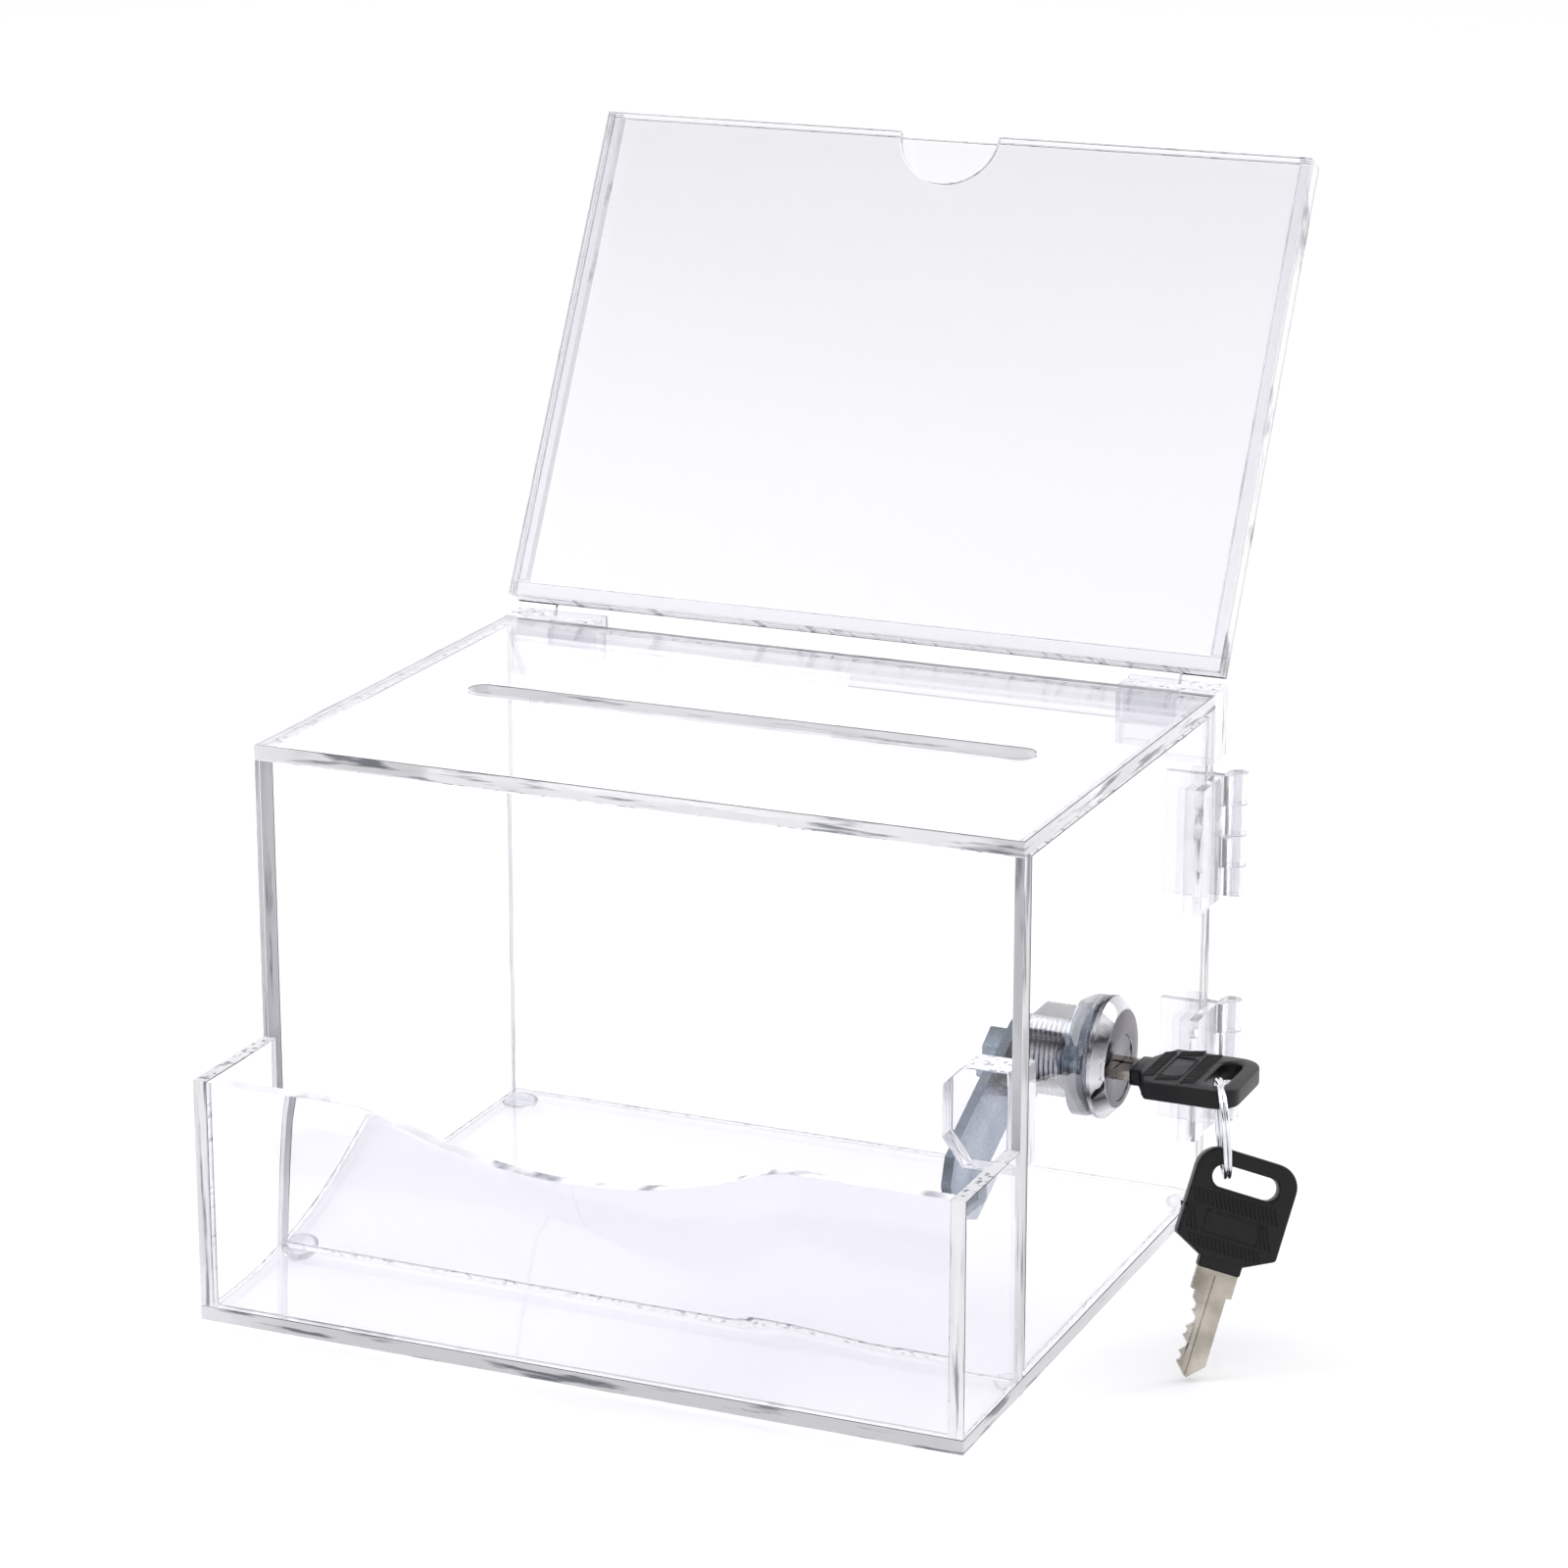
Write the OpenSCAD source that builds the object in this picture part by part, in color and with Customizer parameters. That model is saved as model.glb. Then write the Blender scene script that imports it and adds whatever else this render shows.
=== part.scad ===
// Clear acrylic donation box with a leaflet pocket, a lift-out sign holder
// and a side door held by a cam lock with two keys on a split ring.
// Lengths are in millimetres and +Z is up. Every piece is drawn in box
// coordinates: X = 0 at the left face, Y = 0 at the front face of the box
// and Z = 0 at the underside of the base plate. from_corner() then moves
// it to the model's origin, the centre of the model's outline at the
// height of the feet.

/* [Box] */
// Outside width of the box, left to right
box_w = 159; // [150:1:180]
// Outside depth of the box, front to back
box_d = 108; // [100:1:140]
// Height from the underside of the base plate to the top face
box_h = 109; // [105:1:140]
// Thickness of the acrylic sheets
sheet_t = 3; // [2.5:0.5:3.5]
// Length of the money slot
slot_l = 121; // [80:1:125]
// Width of the money slot
slot_w = 6; // [5:0.5:10]
// Diameter of each bumper foot
foot_dia = 8; // [7:0.5:9]
// Height of each bumper foot
foot_h = 2; // [1.5:0.5:3]

/* [Pocket] */
// How far the leaflet pocket stands out from the front wall
pocket_d = 27.5; // [20:0.5:40]
// Height of the pocket's front corners
pocket_h = 49.5; // [40:0.5:60]
// Width of the hand dip in the pocket's front wall
dip_w = 92; // [60:1:110]
// Depth of the hand dip
dip_h = 8.9; // [5:0.1:12]

/* [Sign holder] */
// Width of the sign holder
sign_w = 159; // [150:1:180]
// Height of the sign holder along its own slope
sign_h = 109; // [80:1:140]
// Lean of the sign holder back from the vertical, in degrees
sign_lean = 28.6; // [15:0.2:35]
// Thickness of the front sheet and of the back sheet
sign_sheet_t = 2; // [1.5:0.5:2.5]
// Gap for the card between the two sheets
card_gap = 2.4; // [2:0.1:3]
// Radius of the thumb notch in the front sheet
notch_r = 11; // [8:0.5:14]

/* [Hinges] */
// Height of each hinge
hinge_h = 26; // [22:1:30]
// Reach of each hinge leaf from the pin
leaf_reach = 16; // [14:0.5:20]
// Height of the upper hinge's centre
hinge_upper_z = 79.4; // [70:0.2:82]
// Height of the lower hinge's centre
hinge_lower_z = 31; // [25:0.5:40]

/* [Lock] */
// Distance of the lock's centre from the front face
lock_y = 46.5; // [44:0.5:50]
// Height of the lock's centre
lock_z = 52.6; // [51:0.2:58]
// How far the turning plug's axis lies below the lock's centre
plug_drop = 1.9; // [0:0.1:2]
// Outer diameter of the bezel
bezel_dia = 24; // [22:0.5:26]
// Length of the cam from the plug's axis to its tip
cam_l = 40.5; // [38:0.5:41]
// Width of the cam
cam_w = 16; // [14:0.5:17]
// How far the cam is turned down from its locked place, in degrees
cam_rest = 25; // [24:1:60]

/* [Keys] */
// Length of the plastic bow
bow_l = 20.8; // [20:0.2:22]
// Width of the plastic bow
bow_w = 20; // [18:0.5:21]
// Thickness of the plastic bow
bow_t = 4.2; // [3.5:0.1:4.4]
// Length of the blade outside the bow
blade_l = 23; // [21:0.5:23]
// Outer diameter of the split ring
ring_dia = 19.4; // [19:0.1:20]

/* [Hidden] */
$fn = 64;

// Colours of the pieces
clear = [0.86, 0.90, 0.94, 0.35];
zinc = [0.62, 0.66, 0.72];
chrome = [0.80, 0.80, 0.83];
nickel = [0.72, 0.69, 0.62];
black = [0.06, 0.06, 0.07];
brass = [0.72, 0.60, 0.35];

// Overshoot that makes every cut run cleanly past a face
over = 1;
// Height of the walls between the base plate and the top panel
wall_h = box_h - 2 * sheet_t;

// Door: gaps to the front wall, back wall, top panel and base plate
door_gap_front = 0.5;
door_gap_back = 0.3;
door_gap_top = 0.5;
door_gap_base = 1.2;
door_y0 = sheet_t + door_gap_front;
door_y1 = box_d - sheet_t - door_gap_back;
door_z0 = sheet_t + door_gap_base;
door_z1 = box_h - sheet_t - door_gap_top;

// Hinges: pin and knuckle radii, pin axis and the running gaps
pin_r = 0.9;
pin_gap = 0.05;
knuckle_r = 2.2;
knuckle_count = 4;
knuckle_l = hinge_h / knuckle_count;
knuckle_gap = 0.15;
leaf_t = 2;
axis_out = 3.8;
hinge_x = box_w + axis_out;
hinge_y = box_d + axis_out;
// The plates stop this far from the pin, and only the arms go on
plate_stop = 4;

// Lock: lengths along X are measured from the door's outer face, inwards negative
bezel_t = 3;
bezel_rim_t = 0.8;
bezel_face_r = 9.6;
barrel_r = 9.25;
barrel_end = -16;
barrel_flat = 8;
thread_pitch = 1;
thread_depth = 0.45;
nut_t = 4;
nut_flats = 22;
nut_corner_r = 12.3;
plug_r = 5.5;
plug_gap = 0.05;
plug_head_r = 6.5;
plug_head_t = 1.2;
plug_face = bezel_t - 0.2;
plug_end = -16.4;
plug_z = lock_z - plug_drop;
cam_t = 2;
cam_front = plug_end - 0.1;
cam_chamfer = 4;
tail_w = 6;
washer_t = 0.8;
washer_r = 5.5;
bolt_r = 2;
bolt_flats = 9;
bolt_head_t = 4.3;
bolt_reach = 2.4;
wafer_count = 5;
wafer_t = 0.9;
wafer_w = 5.2;
wafer_h = 9.2;
wafer_first = -9.5;
wafer_pitch = 2;
spring_r = 0.45;
spring_wire_r = 0.11;
spring_turns = 4;

// Strike block on the inside of the front wall, which the cam catches behind; its two
// corners next to the cam are cut off, the lower one by a greater height
strike_reach = 8;
strike_x0 = box_w - 16.4;
strike_x1 = box_w - 3.3;
strike_below = 9;
strike_h = 20;
strike_chamfer = 4;
strike_chamfer_h = 5.5;

// Keys
bow_x0 = box_w + 8;
bow_corner_r = 4.5;
bow_neck_w = 8.4;
bow_shoulder = 2.9;
collar_l = 2;
collar_t = 3.4;
key_slot_l = 13.2;
key_slot_w = 4.4;
key_slot_edge = 3;
blade_w = 6;
blade_t = 2;
blade_head_w = 8;
blade_head_l = 6.5;
tang_w = 5;
tang_l = 9;
groove_w = 1;
groove_d = 0.5;
keyway_gap = 0.15;
key_point = 3;
cut_count = 6;
cut_pitch = 2.5;
cut_flat = 0.7;
cut_depths = [1.0, 1.7, 0.8, 1.5, 1.1, 1.6];

// Split ring: two turns of wire side by side, hooked over the bow's near rim
ring_wire = 0.8;
ring_turn = 24;
ring_tilt = 5;
ring_clear = 0.35;
ring_mid_r = ring_dia / 2 - ring_wire / 2;
ring_inner_r = ring_dia / 2 - ring_wire;
rim_y = lock_y - bow_w / 2 + (bow_w - key_slot_l) / 4;
rim_half = (bow_w - key_slot_l) / 4 / cos(ring_turn) + ring_wire * tan(ring_turn);
ring_x = bow_x0 + bow_l - key_slot_edge - 0.3;
ring_top = plug_z + bow_t / 2 + ring_clear + ring_inner_r - sqrt(pow(ring_inner_r, 2) - pow(rim_half, 2));

// Spare key: hangs on the ring's lowest point, tip leaning forward and left
spare_lean = 17;
spare_roll = 18.2;
spare_yaw = 24;
spare_drop = 1.5;
spare_side = 4.1;
spare_at = [ring_x + 2 * ring_inner_r * sin(ring_tilt) * cos(ring_turn),
    rim_y + 2 * ring_inner_r * sin(ring_tilt) * sin(ring_turn),
    ring_top - 2 * ring_inner_r * cos(ring_tilt)];

// Sign holder: the slope's frame starts at the front sheet's lower front edge
sign_y = box_d + 1.4;
sign_z = box_h + 4.4;
sign_x0 = (box_w - sign_w) / 2;
strip_w = 3;
bottom_strip_h = 3.5;
sign_total_t = 2 * sign_sheet_t + card_gap;
tongue_inset = 9.5;
bracket_w = 21;
bracket_solid_w = 9.2;
bracket_t = 8;
bracket_z0 = box_h - 14.6;
bracket_z1 = box_h + 0.2;
tongue_gap = 0.2;
tongue_y = box_d + 4.5;
tongue_z = box_h - 10.6;
bend_r = 2;
sin_lean = sin(sign_lean);
cos_lean = cos(sign_lean);
// Height at which the upright tongue's front face meets the sloping sheet's front face
sheet_front_y = sign_y + (sign_total_t - sign_sheet_t) * cos_lean;
sheet_front_z = sign_z - (sign_total_t - sign_sheet_t) * sin_lean;
bend_z = sheet_front_z - (sheet_front_y - tongue_y) * cos_lean / sin_lean;
bend_tangent = (bend_r + sign_sheet_t) * tan(sign_lean / 2);

// Outline of the whole model and the origin in its middle, at the feet
model_x1 = bow_x0 + bow_l;
model_x_end = max(model_x1, spare_right_x());
model_y0 = -pocket_d;
model_y1 = sign_y + sign_h * sin_lean + sign_total_t * cos_lean;
origin = [model_x_end / 2, (model_y0 + model_y1) / 2, -foot_h];

// Rotation of a point by OpenSCAD's own order of turns about X, then Y, then Z
function turn_x(p, a) = [p[0], p[1] * cos(a) - p[2] * sin(a), p[1] * sin(a) + p[2] * cos(a)];
function turn_y(p, a) = [p[0] * cos(a) + p[2] * sin(a), p[1], -p[0] * sin(a) + p[2] * cos(a)];
function turn_z(p, a) = [p[0] * cos(a) - p[1] * sin(a), p[0] * sin(a) + p[1] * cos(a), p[2]];

// Where a point of the spare key, given in key coordinates, lies along X
function spare_point_x(p) = spare_at[0] + turn_z(turn_y(turn_x(
    [-(p[1] - spare_side), -p[2], p[0] - key_hang_x()], -spare_lean), spare_roll), spare_yaw)[0];
function key_hang_x() = bow_l - key_slot_edge - spare_drop;
// The bow's right outer corner is an arc, and its straight side is the widest place
function spare_right_x() = max([for (end = [bow_shoulder, bow_l - bow_corner_r], side = [-1, 1])
    spare_point_x([end, -bow_w / 2, side * bow_t / 2])]);

// Moves a piece from box coordinates to the model's origin
module from_corner() {
    translate(-origin) children();
}

// Axis helper: draws its children about a line along X through the lock's centre,
// with their own +Z pointing out of the door
module on_lock_axis() {
    translate([box_w, lock_y, lock_z]) rotate([0, 90, 0]) children();
}

// The same about the turning plug's own axis
module on_plug_axis() {
    translate([box_w, lock_y, plug_z]) rotate([0, 90, 0]) children();
}

// Outline extruded along X between two places; its own X is world Y and its own Y is world Z
module along_x(x0, x1) {
    translate([x0, 0, 0]) rotate([90, 0, 90]) linear_extrude(x1 - x0) children();
}

// Rectangle with round corners, centred on the origin
module rounded_rect(length, width, r) {
    square([length - 2 * r, width], center = true);
    square([length, width - 2 * r], center = true);
    for (sx = [-1, 1], sy = [-1, 1])
        translate([sx * (length / 2 - r), sy * (width / 2 - r)]) circle(r);
}

// Slot with round ends, centred on the origin
module round_slot(length, width) {
    square([length - width, width], center = true);
    for (sx = [-1, 1]) translate([sx * (length - width) / 2, 0]) circle(width / 2);
}

// ---- Box ----

module base_plate() {
    color(clear) from_corner()
        translate([0, -pocket_d, 0]) cube([box_w, box_d + pocket_d, sheet_t]);
}

module left_wall() {
    color(clear) from_corner()
        translate([0, sheet_t, sheet_t]) cube([sheet_t, box_d - 2 * sheet_t, wall_h]);
}

module front_wall() {
    color(clear) from_corner()
        translate([0, 0, sheet_t]) cube([box_w, sheet_t, wall_h]);
}

module back_wall() {
    color(clear) from_corner()
        translate([0, box_d - sheet_t, sheet_t]) cube([box_w, sheet_t, wall_h]);
}

module top_panel() {
    color(clear) from_corner()
        difference() {
            translate([0, 0, box_h - sheet_t]) cube([box_w, box_d, sheet_t]);
            translate([(box_w + 1) / 2, box_d / 2, box_h - sheet_t - over])
                linear_extrude(sheet_t + 2 * over) round_slot(slot_l, slot_w);
        }
}

module strike_block() {
    z0 = lock_z - strike_below;
    z1 = z0 + strike_h;
    color(clear) from_corner()
        translate([0, sheet_t + strike_reach, 0]) rotate([90, 0, 0]) linear_extrude(strike_reach)
            polygon([[strike_x0, z0 + strike_chamfer_h], [strike_x0 + strike_chamfer, z0],
                [strike_x1, z0], [strike_x1, z1], [strike_x0 + strike_chamfer, z1],
                [strike_x0, z1 - strike_chamfer]]);
}

module pocket_side(x) {
    color(clear) from_corner()
        translate([x, -pocket_d, sheet_t]) cube([sheet_t, pocket_d, pocket_h - sheet_t]);
}

module pocket_left_wall() {
    pocket_side(0);
}

module pocket_right_wall() {
    pocket_side(box_w - sheet_t);
}

// The dip is a wide hollow arc that runs into a small round shoulder on each side
module pocket_front_wall() {
    half = dip_w / 2;
    shoulder_r = 20;
    // Distance between the two arcs' centres, from the dip's width and depth
    sum_r = (half * half + dip_h * dip_h) / (2 * dip_h);
    hollow_r = sum_r - shoulder_r;
    hollow_z = pocket_h - dip_h + hollow_r;
    // Angle from the vertical at which the two arcs meet
    join_a = asin(half / sum_r);
    steps = 8;
    end_x = box_w / 2 - sheet_t;
    shoulder = [for (i = [0 : steps - 1]) let (a = join_a * i / steps)
        [half - shoulder_r * sin(a), pocket_h - shoulder_r * (1 - cos(a))]];
    hollow = [for (i = [0 : 3 * steps]) let (a = join_a * (1 - 2 * i / (3 * steps)))
        [hollow_r * sin(a), hollow_z - hollow_r * cos(a)]];
    far_shoulder = [for (i = [steps - 1 : -1 : 0]) [-shoulder[i][0], shoulder[i][1]]];
    color(clear) from_corner()
        translate([box_w / 2, -pocket_d + sheet_t, 0]) rotate([90, 0, 0])
            linear_extrude(sheet_t)
                polygon(concat([[-end_x, sheet_t], [end_x, sheet_t], [end_x, pocket_h]],
                    shoulder, hollow, far_shoulder, [[-end_x, pocket_h]]));
}

// Half of each bracket is solid and the other half takes the sign's tongue
module sign_bracket(side) {
    slot_y0 = tongue_y - tongue_gap;
    color(clear) from_corner()
        translate([box_w / 2, 0, 0]) mirror([side < 0 ? 0 : 1, 0, 0])
            translate([-box_w / 2, 0, 0])
                difference() {
                    translate([0, box_d, bracket_z0])
                        cube([bracket_w, bracket_t, bracket_z1 - bracket_z0]);
                    translate([bracket_solid_w, slot_y0, tongue_z - tongue_gap])
                        cube([bracket_w, sign_sheet_t + 2 * tongue_gap, bracket_z1]);
                }
}

module sign_bracket_left() {
    sign_bracket(-1);
}

module sign_bracket_right() {
    sign_bracket(1);
}

// Four dome bumpers with flat soles
module feet() {
    inset = 4.5;
    sole_r = foot_dia / 4;
    color(clear) from_corner()
        for (x = [inset, box_w - inset], y = [inset, box_d - inset])
            translate([x, y, 0]) mirror([0, 0, 1])
                rotate_extrude() dome_outline(sole_r);
}

// Half outline of one bumper: flat against the base, a round shoulder and a flat sole
module dome_outline(sole_r) {
    edge = foot_dia / 2;
    steps = 8;
    polygon(concat([[0, 0], [edge, 0]],
        [for (i = [1 : steps]) let (a = 90 * i / steps)
            [sole_r + (edge - sole_r) * cos(a), foot_h * sin(a)]],
        [[0, foot_h]]));
}

// ---- Hinges ----

// Height of a knuckle's lower end, counted from the top of the hinge
function knuckle_z(centre, i) = centre + hinge_h / 2 - (i + 1) * knuckle_l;

// One leaf lying along -X from the pin: a plate, and an arm and a knuckle at each of its levels
module hinge_leaf(centre, first) {
    difference() {
        union() {
            translate([-leaf_reach, -axis_out, centre - hinge_h / 2])
                cube([leaf_reach - plate_stop, leaf_t, hinge_h]);
            for (i = [first : 2 : knuckle_count - 1])
                translate([0, 0, knuckle_z(centre, i) + knuckle_gap / 2]) {
                    translate([-plate_stop, -axis_out, 0])
                        cube([plate_stop, leaf_t, knuckle_l - knuckle_gap]);
                    cylinder(r = knuckle_r, h = knuckle_l - knuckle_gap);
                    translate([-knuckle_r, -axis_out, 0])
                        cube([knuckle_r, axis_out, knuckle_l - knuckle_gap]);
                }
        }
        translate([0, 0, centre - hinge_h / 2 - over])
            cylinder(r = pin_r + pin_gap, h = hinge_h + 2 * over);
    }
}

module hinge_box_leaf_upper() {
    color(clear) from_corner()
        translate([hinge_x, hinge_y, 0]) hinge_leaf(hinge_upper_z, 0);
}

module hinge_box_leaf_lower() {
    color(clear) from_corner()
        translate([hinge_x, hinge_y, 0]) hinge_leaf(hinge_lower_z, 0);
}

// The door's leaf is the mirror image of the box's leaf across the corner
module hinge_door_leaf(centre) {
    color(clear) from_corner()
        translate([hinge_x, hinge_y, 0]) rotate([0, 0, 90]) mirror([0, 1, 0])
            hinge_leaf(centre, 1);
}

module hinge_door_leaf_upper() {
    hinge_door_leaf(hinge_upper_z);
}

module hinge_door_leaf_lower() {
    hinge_door_leaf(hinge_lower_z);
}

module hinge_pin(centre) {
    color(clear) from_corner()
        translate([hinge_x, hinge_y, centre - hinge_h / 2]) cylinder(r = pin_r, h = hinge_h);
}

module hinge_pin_upper() {
    hinge_pin(hinge_upper_z);
}

module hinge_pin_lower() {
    hinge_pin(hinge_lower_z);
}

// ---- Door and lock ----

// Barrel outline seen from the outside of the door: round with two flats
module barrel_outline(r, flat) {
    intersection() {
        circle(r);
        square([2 * flat, 2 * r + over], center = true);
    }
}

module door_panel() {
    hole_gap = 0.1;
    color(clear) from_corner()
        difference() {
            translate([box_w - sheet_t, door_y0, door_z0])
                cube([sheet_t, door_y1 - door_y0, door_z1 - door_z0]);
            on_lock_axis() translate([0, 0, -sheet_t - over])
                linear_extrude(sheet_t + 2 * over)
                    barrel_outline(barrel_r + hole_gap, barrel_flat + hole_gap);
        }
}

// Bezel and threaded barrel in one casting, bored for the plug
module lock_housing() {
    color(chrome) from_corner()
        on_lock_axis()
            difference() {
                union() {
                    rotate_extrude()
                        polygon([[0, 0], [bezel_dia / 2, 0], [bezel_dia / 2, bezel_rim_t],
                            [bezel_face_r, bezel_t], [0, bezel_t]]);
                    intersection() {
                        rotate_extrude() thread_outline();
                        translate([0, 0, barrel_end])
                            linear_extrude(over - barrel_end)
                                barrel_outline(bezel_dia, barrel_flat);
                    }
                }
                translate([plug_drop, 0, 0]) {
                    translate([0, 0, barrel_end - over])
                        cylinder(r = plug_r + plug_gap, h = bezel_t - barrel_end + 2 * over);
                    translate([0, 0, plug_face - plug_head_t - plug_gap])
                        cylinder(r = plug_head_r + plug_gap, h = plug_head_t + over);
                }
            }
}

// Half outline of the barrel with its thread drawn as plain rings
module thread_outline() {
    count = floor((-barrel_end - sheet_t) / thread_pitch);
    polygon(concat([[0, barrel_end], [barrel_r - thread_depth, barrel_end]],
        [for (i = [0 : count - 1], half = [0.5, 1])
            [barrel_r - (half < 1 ? 0 : thread_depth), barrel_end + (i + half) * thread_pitch]],
        [[barrel_r, barrel_end + count * thread_pitch + 0.2], [barrel_r, over], [0, over]]));
}

module lock_nut() {
    bore_gap = 0.05;
    chamfer = 0.9;
    color(zinc) from_corner()
        on_lock_axis() translate([0, 0, -sheet_t - nut_t])
            difference() {
                intersection() {
                    rotate([0, 0, 20]) cylinder(d = nut_flats / cos(30), h = nut_t, $fn = 6);
                    rotate_extrude()
                        polygon([[0, 0], [nut_corner_r - chamfer, 0], [nut_corner_r, chamfer / 2],
                            [nut_corner_r, nut_t - chamfer / 2], [nut_corner_r - chamfer, nut_t],
                            [0, nut_t]]);
                }
                translate([0, 0, -over])
                    cylinder(r = barrel_r + bore_gap, h = nut_t + 2 * over);
            }
}

// Turning core: keyway from the front with a recess for the blade's head, wafer slots
// across it and a square tail behind
module lock_plug() {
    keyway_w = blade_w + 2 * keyway_gap;
    keyway_h = blade_t + 2 * keyway_gap;
    keyway_end = bow_x0 - blade_l - box_w - 0.3;
    recess_w = blade_head_w + 2 * keyway_gap;
    recess_end = bow_x0 - blade_head_l - box_w - keyway_gap;
    color(chrome) from_corner()
        on_plug_axis()
            difference() {
                union() {
                    translate([0, 0, plug_end])
                        cylinder(r = plug_r, h = plug_face - plug_end);
                    translate([0, 0, plug_face - plug_head_t])
                        cylinder(r = plug_head_r, h = plug_head_t);
                    rotate([0, 0, cam_rest])
                        translate([-tail_w / 2, -tail_w / 2, plug_end - cam_t - 0.1])
                            cube([tail_w, tail_w, cam_t + over]);
                }
                translate([-keyway_h / 2, -keyway_w / 2, keyway_end])
                    cube([keyway_h, keyway_w, bezel_t - keyway_end + over]);
                translate([-keyway_h / 2, -recess_w / 2, recess_end])
                    cube([keyway_h, recess_w, bezel_t - recess_end + over]);
                for (i = [0 : wafer_count - 1]) wafer_place(i)
                    translate([-wafer_w / 2 - 0.1, -plug_r - over, -0.05])
                        cube([wafer_w + 0.2, 2 * plug_r + 2 * over, wafer_t + 0.1]);
                translate([0, 0, plug_end - cam_t - over])
                    cylinder(r = bolt_r, h = bolt_reach + over - 0.1);
            }
}

module wafer_place(i) {
    translate([0, 0, wafer_first + i * wafer_pitch]) children();
}

// Spring-loaded plates that the blade passes through, held level with the plug's surface
module lock_wafers() {
    window_w = blade_t + 0.8;
    window_h = blade_w + 1;
    color(brass) from_corner()
        on_plug_axis()
            for (i = [0 : wafer_count - 1]) wafer_place(i)
                linear_extrude(wafer_t)
                    difference() {
                        square([wafer_w, wafer_h], center = true);
                        square([window_w, window_h], center = true);
                        translate([wafer_w / 2, wafer_h / 2])
                            square([2 * spring_w(), 2 * spring_seat()], center = true);
                    }
}

// Width and height of the corner that each wafer leaves for its spring
function spring_w() = 1.05;
function spring_seat() = 1.8;

// One coil of wire for each wafer, in the corner that the wafer leaves free
module wafer_springs() {
    length = spring_seat() - 0.2;
    color(zinc) from_corner()
        on_plug_axis()
            for (i = [0 : wafer_count - 1]) wafer_place(i)
                translate([wafer_w / 2 - spring_w() / 2, wafer_h / 2 - spring_seat() + 0.15,
                    wafer_t / 2])
                    rotate([-90, 0, 0])
                        coil(spring_r - spring_wire_r, spring_wire_r - 0.02, length, spring_turns);
}

// A wire wound as a helix about +Z
module coil(r, wire_r, length, turns) {
    sides = 5;
    steps = 7 * turns;
    rise = length - 2 * wire_r;
    points = [for (i = [0 : steps], j = [0 : sides - 1])
        let (a = 360 * turns * i / steps, b = 360 * j / sides, reach = r + wire_r * cos(b))
            [reach * cos(a), reach * sin(a), wire_r + rise * i / steps + wire_r * sin(b)]];
    side_faces = [for (i = [0 : steps - 1], j = [0 : sides - 1])
        let (k = (j + 1) % sides)
            [i * sides + j, i * sides + k, (i + 1) * sides + k, (i + 1) * sides + j]];
    polyhedron(points, concat(side_faces, [[for (j = [sides - 1 : -1 : 0]) j]],
        [[for (j = [0 : sides - 1]) steps * sides + j]]));
}

// Plate cam: its tip catches behind the strike block when it points forward
module lock_cam() {
    hole_gap = 0.1;
    color(zinc) from_corner()
        on_plug_axis() rotate([0, 0, cam_rest])
            translate([0, 0, cam_front - cam_t])
                linear_extrude(cam_t)
                    difference() {
                        cam_outline();
                        square(tail_w + 2 * hole_gap, center = true);
                    }
}

// Round behind the lock's centre, straight sides, and a tip with two cut corners
module cam_outline() {
    half = cam_w / 2;
    steps = 24;
    polygon(concat([for (i = [0 : steps]) [half * cos(180 * i / steps), half * sin(180 * i / steps)]],
        [[-half, cam_chamfer - cam_l], [cam_chamfer - half, -cam_l],
            [half - cam_chamfer, -cam_l], [half, cam_chamfer - cam_l]]));
}

module cam_washer() {
    color(zinc) from_corner()
        on_plug_axis() translate([0, 0, cam_front - cam_t - washer_t])
            difference() {
                cylinder(r = washer_r, h = washer_t);
                translate([0, 0, -over]) cylinder(r = bolt_r + 0.2, h = washer_t + 2 * over);
            }
}

module cam_bolt() {
    head_z = cam_front - cam_t - washer_t;
    color(zinc) from_corner()
        on_plug_axis() {
            translate([0, 0, head_z - bolt_head_t])
                cylinder(d = bolt_flats / cos(30), h = bolt_head_t, $fn = 6);
            translate([0, 0, head_z]) cylinder(r = bolt_r, h = washer_t + bolt_reach - 0.3);
        }
}

// ---- Keys and ring ----

// Key coordinates: the bow starts at X = 0 and runs to +X, the blade runs to -X,
// the width is along Y and the thickness along Z
module key_bow_shape() {
    slot_x = bow_l - key_slot_edge - key_slot_w / 2;
    half = bow_w / 2;
    difference() {
        union() {
            translate([0, 0, -bow_t / 2]) linear_extrude(bow_t)
                difference() {
                    translate([bow_l / 2, 0]) rounded_rect(bow_l, bow_w, bow_corner_r);
                    translate([slot_x, 0]) rotate(90) round_slot(key_slot_l, key_slot_w);
                }
            translate([0, 0, -bow_t / 2]) linear_extrude(bow_t)
                polygon([[0, -bow_neck_w / 2], [bow_shoulder, -half], [bow_shoulder + 2, -half],
                    [bow_shoulder + 2, half], [bow_shoulder, half], [0, bow_neck_w / 2]]);
            translate([-collar_l, -bow_neck_w / 2, -collar_t / 2])
                cube([collar_l, bow_neck_w, collar_t]);
        }
        for (side = [-1, 1])
            translate([0, 0, -bow_t]) linear_extrude(2 * bow_t)
                polygon([[0, side * bow_neck_w / 2], [bow_shoulder, side * half],
                    [bow_shoulder, side * (half + over)], [-over, side * (half + over)],
                    [-over, side * bow_neck_w / 2]]);
        translate([0, 0, -blade_t / 2]) linear_extrude(blade_t) tang_outline();
    }
}

// Part of the blade that is moulded into the bow
module tang_outline() {
    translate([-collar_l - over, -blade_head_w / 2]) square([collar_l + over, blade_head_w]);
    translate([-over, -tang_w / 2]) square([tang_l + over, tang_w]);
}

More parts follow.
